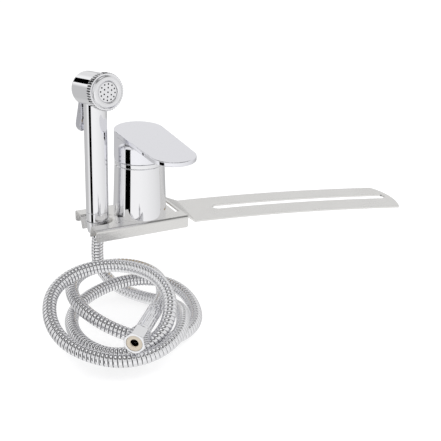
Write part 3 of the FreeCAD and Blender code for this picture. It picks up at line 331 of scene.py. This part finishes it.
# Union nut, ferrule and washer at the hose's start: turned and plated brass, with a rubber washer inside.
# The nut's cone seats in the bracket's collar.

paint(CHROME, "hose_cone_nut", "hose_ferrule")
paint(RUBBER, "hose_washer")


# Hose: 1.24 m of 12 mm metal hose, wound from profiled stainless strip over a rubber tube, in a loose coil.
# Each turn of the strip is a rounded bright rib, 3.6 mm on from the last, with a narrow shaded seam.

HOSE_RADIUS = 0.006
HOSE_PITCH = 0.0036
HOSE_SIDES = 32
# Route of the centreline in millimetres, from the middle of the mixer's foot on the plate.
HOSE_ROUTE = [
    (-45, 0, -18), (-45, 4, -36), (-44, 3, -54), (-34, -18, -69), (-17, -43, -72), (-5, -70, -67),
    (-4, -99, -58), (-12, -128, -50), (-28, -157, -50), (-55, -172, -54.5), (-85, -170, -57),
    (-108, -151, -56), (-124, -127, -51), (-127, -99, -42), (-116, -72, -32), (-91, -57, -25),
    (-62, -58, -22), (-39, -77, -20), (-26, -106, -21), (-26, -133, -31), (-40, -152, -46),
    (-65, -161, -55), (-88, -153, -60), (-103, -130, -60), (-106, -101, -60), (-99, -73, -60),
    (-80, -49, -59), (-53, -36, -57), (-25, -34, -55), (-1, -46, -55), (13, -69, -57), (14, -98, -61),
    (4, -123, -66), (-22, -138, -67), (-50, -137, -63), (-73, -122, -56), (-90, -101, -48),
    (-96, -76, -43), (-91, -51, -41), (-76, -32, -40), (-53, -23, -40), (-29, -28, -40),
    (-13, -46, -40), (-9, -70, -41), (-16.6, -95, -43.4), (-31.4, -118.2, -39.3), (-40.1, -128.4, -39.2),
]
FOOT_X, FOOT_Y, FOOT_Z = -72, 5, 7
HOSE_ROUTE = [((x + FOOT_X) / 1000, (y + FOOT_Y) / 1000, (z + FOOT_Z) / 1000) for x, y, z in HOSE_ROUTE]
# Share of the pitch and depth in metres across one rib; the first and last points lie in the seam.
STRIP_PROFILE = [(0.0, -0.00065), (0.05, -0.0006), (0.09, -0.0003), (0.18, -0.00013), (0.34, -0.00003),
                 (0.5, 0.0), (0.66, -0.00003), (0.82, -0.00013), (0.91, -0.0003), (0.95, -0.0006)]
SEAM_ROWS = (0, 1, len(STRIP_PROFILE) - 1)


def smooth_line(points):
    """Points of the NURBS curve that has the route as its control points."""
    curve = bpy.data.curves.new("hose_line", "CURVE")
    curve.dimensions = "3D"
    curve.resolution_u = 16
    spline = curve.splines.new("NURBS")
    spline.points.add(len(points) - 1)
    for point, place in zip(spline.points, points):
        point.co = (*place, 1.0)
    spline.order_u = 3
    spline.use_endpoint_u = True
    holder = bpy.data.objects.new("hose_line", curve)
    mesh = bpy.data.meshes.new_from_object(holder)
    line = np.array([vertex.co for vertex in mesh.vertices])
    bpy.data.objects.remove(holder)
    bpy.data.meshes.remove(mesh)
    return line


class Line:
    """A polyline that gives its place and a steady pair of cross directions at any length."""

    def __init__(self, points):
        steps = np.linalg.norm(np.diff(points, axis=0), axis=1)
        keep = np.concatenate([[True], steps > 1e-7])
        self.points = points[keep]
        steps = np.linalg.norm(np.diff(self.points, axis=0), axis=1)
        self.reach = np.concatenate([[0.0], np.cumsum(steps)])
        self.length = self.reach[-1]
        tangents = np.gradient(self.points, self.reach, axis=0)
        self.tangents = tangents / np.linalg.norm(tangents, axis=1)[:, None]
        normal = np.cross(self.tangents[0], (0.0, 1.0, 0.0))
        normals = []
        for tangent in self.tangents:
            normal = normal - tangent * normal.dot(tangent)
            normal = normal / np.linalg.norm(normal)
            normals.append(normal)
        self.normals = np.array(normals)

    def sample(self, table, s):
        """A table's values at the lengths s."""
        return np.stack([np.interp(s, self.reach, table[:, k]) for k in range(3)], axis=-1)

    def at(self, s, angle, radius):
        """Points at the lengths s, turned by angle round the line and radius away from it."""
        along = self.sample(self.tangents, s)
        out = self.sample(self.normals, s)
        out = out / np.linalg.norm(out, axis=-1)[..., None]
        aside = np.cross(along, out)
        turn = np.cos(angle)[..., None] * out + np.sin(angle)[..., None] * aside
        return self.sample(self.points, s) + turn * radius[..., None]


def strip_faces(s, rows, per_rib):
    """Faces of the grid, without those past the hose's ends, and for each whether it lies in the seam."""
    sides = s.shape[1]
    faces = []
    seam = []
    for row in range(rows - 1):
        for column in range(sides):
            if column < sides - 1:
                face = (row * sides + column, row * sides + column + 1,
                        (row + 1) * sides + column + 1, (row + 1) * sides + column)
            elif row + 1 + per_rib < rows:
                face = (row * sides + column, (row + per_rib) * sides,
                        (row + 1 + per_rib) * sides, (row + 1) * sides + column)
            else:
                continue
            if s.flat[face[0]] == s.flat[face[2]]:
                continue
            faces.append(face)
            seam.append(1 if row % per_rib in SEAM_ROWS else 0)
    return faces, seam


def wind_strip(name, line, radius, pitch, profile, sides):
    """Helical strip: its grid climbs a pitch a turn, so the last column meets the first a rib further on."""
    ribs = int(line.length / pitch) + 2
    shares = np.array([share for share, depth in profile])
    depths = np.array([depth for share, depth in profile])
    per_rib = len(shares)
    row_share = np.tile(shares, ribs) + np.repeat(np.arange(ribs), per_rib) - 1.0
    climb = np.arange(sides) / sides
    s = np.clip((row_share[:, None] + climb[None, :]) * pitch, 0.0, line.length)
    angle = np.broadcast_to(climb[None, :] * 2 * math.pi, s.shape)
    reach = np.broadcast_to(radius + np.tile(depths, ribs)[:, None], s.shape)
    vertices = line.at(s, angle, reach).reshape(-1, 3)
    faces, seam = strip_faces(s, ribs * per_rib, per_rib)
    mesh = bpy.data.meshes.new(name)
    mesh.from_pydata(vertices.tolist(), [], faces)
    mesh.polygons.foreach_set("material_index", seam)
    mesh.polygons.foreach_set("use_smooth", [True] * len(faces))
    mesh.update()
    piece = bpy.data.objects.new(name, mesh)
    scene.collection.objects.link(piece)
    return piece


hose_line = Line(smooth_line(HOSE_ROUTE))
hose = wind_strip("hose", hose_line, HOSE_RADIUS, HOSE_PITCH, STRIP_PROFILE, HOSE_SIDES)
hose.data.materials.append(metal("polished_stainless_strip", "f2f2f4", 0.06, 0.03, grain=(1.7, 1.7, 1.7),
                                 edge=0.0001))
hose.data.materials.append(metal("shaded_strip_seam", "46464a", 0.3, 0.05, edge=0.0001))
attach(hose, "hand_shower")
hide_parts("hose_drop", "hose_coil")


# Fitting on the hose's free end: crimped fluted sleeve, ferrule and hexagon nut in plated brass, a washer.
# The washer is cream fibre, a little pink and soft beside the chrome.

paint(CHROME, "hose_end_sleeve", "hose_end_ferrule", "hose_end_nut")
paint(moulded("cream_fibre_washer", "e9dcc6", "f2e8d8", 0.6, 1.5, 0.8, 0.2), "hose_end_washer")


# Camera: to the left of the mixer and above it, with a slight roll that keeps the tubes nearly upright.
# Its place, aim and lens were fitted to the bracket, the tubes and the hose as the photograph shows them.

CAMERA_AT = (-0.3733, -0.7062, 0.3119)
CAMERA_TURN, CAMERA_DOWN, CAMERA_ROLL = -28.95, 18.99, 1.74     # degrees
camera = bpy.data.objects.new("camera", bpy.data.cameras.new("camera"))
scene.collection.objects.link(camera)
camera.location = CAMERA_AT
aimed = (Matrix.Rotation(math.radians(CAMERA_TURN), 3, "Z")
         @ Matrix.Rotation(math.radians(90 - CAMERA_DOWN), 3, "X")
         @ Matrix.Rotation(math.radians(CAMERA_ROLL), 3, "Z"))
camera.rotation_euler = aimed.to_euler()
camera.data.sensor_width = 36.0
camera.data.lens = 66.6
camera.data.shift_y = -0.1
camera.data.clip_start = 0.01
scene.camera = camera


# Studio: a white room with one black flag at the left and one high behind, so that chrome reads as chrome.
# Only reflections see the flags; the camera sees plain white, and the floor keeps a faint shadow.

ROOM_TURN = -27.6               # degrees, from the part's front to the camera's side of the room
FLAG_FROM, FLAG_TO = -61.5, -36.5
FLAG_RIM = 0.6                  # degrees over which the flag's edge turns white
# Brightness of the walls by azimuth in degrees, counted from the camera's side and positive to its right.
WALLS = [(-180, 0.55), (-95, 0.6), (-80, 0.8), (FLAG_FROM - 8, 0.92), (FLAG_FROM - FLAG_RIM, 1.0),
         (FLAG_FROM, 0.0), (FLAG_TO, 0.0), (FLAG_TO + FLAG_RIM, 1.0), (0, 1.0), (35, 0.95), (75, 0.86),
         (110, 0.76), (150, 0.5), (180, 0.5)]
# Brightness of the ceiling by how steeply a direction rises; a dark ring runs round its bright middle.
CEILING = [(0.0, 0.81), (0.66, 0.81), (0.78, 0.2), (0.94, 0.16), (0.955, 1.0), (1.0, 1.0)]
WALL_END, CEILING_START = 0.02, 0.16            # rise of the directions where the one blends into the other
GROUND_START, GROUND = -0.5, -0.7
GROUND_LEVEL = (0.85, 0.85, 0.85, 1.0)
CARD_AT = Vector((-0.395, 0.868, 0.301)).normalized()
CARD_REACH = 0.9905             # how closely a direction has to face the card, lengthwise
CARD_ACROSS, CARD_HALF = -0.876, 0.035          # the card's place and half width along the head's axis
GLOW_START, GLOW = 0.92, 0.97                   # the bright surround of the card, lengthwise
WHITE, BLACK = (1, 1, 1, 1), (0, 0, 0, 1)

world = bpy.data.worlds.new("studio")
scene.world = world
world.use_nodes = True
sky = world.node_tree
sky.nodes.clear()
toward = add(sky, "ShaderNodeTexCoord").outputs["Generated"]
turn = math.radians(ROOM_TURN)
aims = {"up": (0, 0, 1), "right": (math.cos(turn), math.sin(turn), 0.0),
        "camera": (math.sin(turn), -math.cos(turn), 0.0), "head": HEAD_AXIS, "card": CARD_AT}
facing = {name: add(sky, "ShaderNodeVectorMath", {"operation": "DOT_PRODUCT"}, i0=toward,
                    i1=aim).outputs["Value"] for name, aim in aims.items()}

azimuth = add(sky, "ShaderNodeMath", {"operation": "ARCTAN2"}, i0=facing["right"],
              i1=facing["camera"]).outputs[0]
round_room = add(sky, "ShaderNodeMapRange", None, Value=azimuth, From_Min=-math.pi,
                 From_Max=math.pi).outputs[0]
walls = add(sky, "ShaderNodeValToRGB", None, Fac=round_room)
dome = add(sky, "ShaderNodeValToRGB", None, Fac=facing["up"])
for ramp, stops in ((walls, [(degrees / 360 + 0.5, level) for degrees, level in WALLS]), (dome, CEILING)):
    points = ramp.color_ramp.elements
    for i, (place, level) in enumerate(stops):
        point = points[i] if i < 2 else points.new(place)
        point.position = place
        point.color = (level, level, level, 1)

glow = add(sky, "ShaderNodeMapRange", None, Value=facing["card"], From_Min=GLOW_START,
           From_Max=GLOW).outputs[0]
lit_dome = add(sky, "ShaderNodeMix", {"data_type": "RGBA"}, i0=glow, i6=dome.outputs[0], i7=WHITE).outputs[2]
across = add(sky, "ShaderNodeMath", {"operation": "COMPARE"}, i0=facing["head"], i1=CARD_ACROSS,
             i2=CARD_HALF).outputs[0]
lengthwise = add(sky, "ShaderNodeMath", {"operation": "GREATER_THAN"}, i0=facing["card"],
                 i1=CARD_REACH).outputs[0]
card = add(sky, "ShaderNodeMath", {"operation": "MULTIPLY"}, i0=across, i1=lengthwise).outputs[0]
ceiling = add(sky, "ShaderNodeMix", {"data_type": "RGBA"}, i0=card, i6=lit_dome, i7=BLACK).outputs[2]
rise = add(sky, "ShaderNodeMapRange", None, Value=facing["up"], From_Min=WALL_END,
           From_Max=CEILING_START).outputs[0]
upper = add(sky, "ShaderNodeMix", {"data_type": "RGBA"}, i0=rise, i6=walls.outputs[0], i7=ceiling).outputs[2]
below = add(sky, "ShaderNodeMapRange", None, Value=facing["up"], From_Min=GROUND_START,
            From_Max=GROUND).outputs[0]
room = add(sky, "ShaderNodeMix", {"data_type": "RGBA"}, i0=below, i6=upper, i7=GROUND_LEVEL).outputs[2]

ray = add(sky, "ShaderNodeLightPath").outputs
mirrored = add(sky, "ShaderNodeBackground", None, Color=room, Strength=1.0).outputs[0]
plain = add(sky, "ShaderNodeBackground", None, Color=(0.98, 0.98, 1.0, 1.0), Strength=0.85).outputs[0]
backdrop = add(sky, "ShaderNodeBackground", None, Color=WHITE, Strength=1.0).outputs[0]
lit = add(sky, "ShaderNodeMixShader", None, i0=ray["Is Glossy Ray"], i1=plain, i2=mirrored).outputs[0]
shown = add(sky, "ShaderNodeMixShader", None, i0=ray["Is Camera Ray"], i1=lit, i2=backdrop).outputs[0]
add(sky, "ShaderNodeOutputWorld", None, Surface=shown)

FLOOR_HEIGHT = -0.0707          # just under the lowest loop of the hose
FLOOR_HALF = 8.0
FLOOR_GLOW = 0.65               # what the camera sees of the floor beside its lit colour, up to white
corners = [(x * FLOOR_HALF, y * FLOOR_HALF, FLOOR_HEIGHT) for x, y in ((-1, -1), (1, -1), (1, 1), (-1, 1))]
floor_mesh = bpy.data.meshes.new("floor")
floor_mesh.from_pydata(corners, [], [(0, 1, 2, 3)])
floor = bpy.data.objects.new("floor", floor_mesh)
scene.collection.objects.link(floor)
floor.visible_glossy = False
paper, paper_tree, paper_shader = start_material("floor_white_paper", "b8b8b8", 0.0, 0.9)
paper_shader.inputs["Specular IOR Level"].default_value = 0.0
paper_shader.inputs["Emission Color"].default_value = WHITE
seen = add(paper_tree, "ShaderNodeLightPath").outputs["Is Camera Ray"]
floor_glow = add(paper_tree, "ShaderNodeMath", {"operation": "MULTIPLY"}, i0=seen, i1=FLOOR_GLOW).outputs[0]
paper_tree.links.new(floor_glow, paper_shader.inputs["Emission Strength"])
floor_mesh.materials.append(paper)

LAMPS_AIM = Vector((0, -0.05, 0))


def softbox(name, place, size, power):
    """A square lamp aimed at the mixer; reflections show the room instead."""
    light = bpy.data.objects.new(name, bpy.data.lights.new(name, "AREA"))
    scene.collection.objects.link(light)
    light.data.shape = "SQUARE"
    light.data.size = size
    light.data.energy = power
    light.location = place
    light.rotation_euler = (LAMPS_AIM - Vector(place)).to_track_quat("-Z", "Y").to_euler()
    light.visible_glossy = False


softbox("key", (0.9, -1.2, 1.6), 1.4, 14.0)
softbox("fill", (-1.4, -0.4, 1.3), 1.6, 6.0)
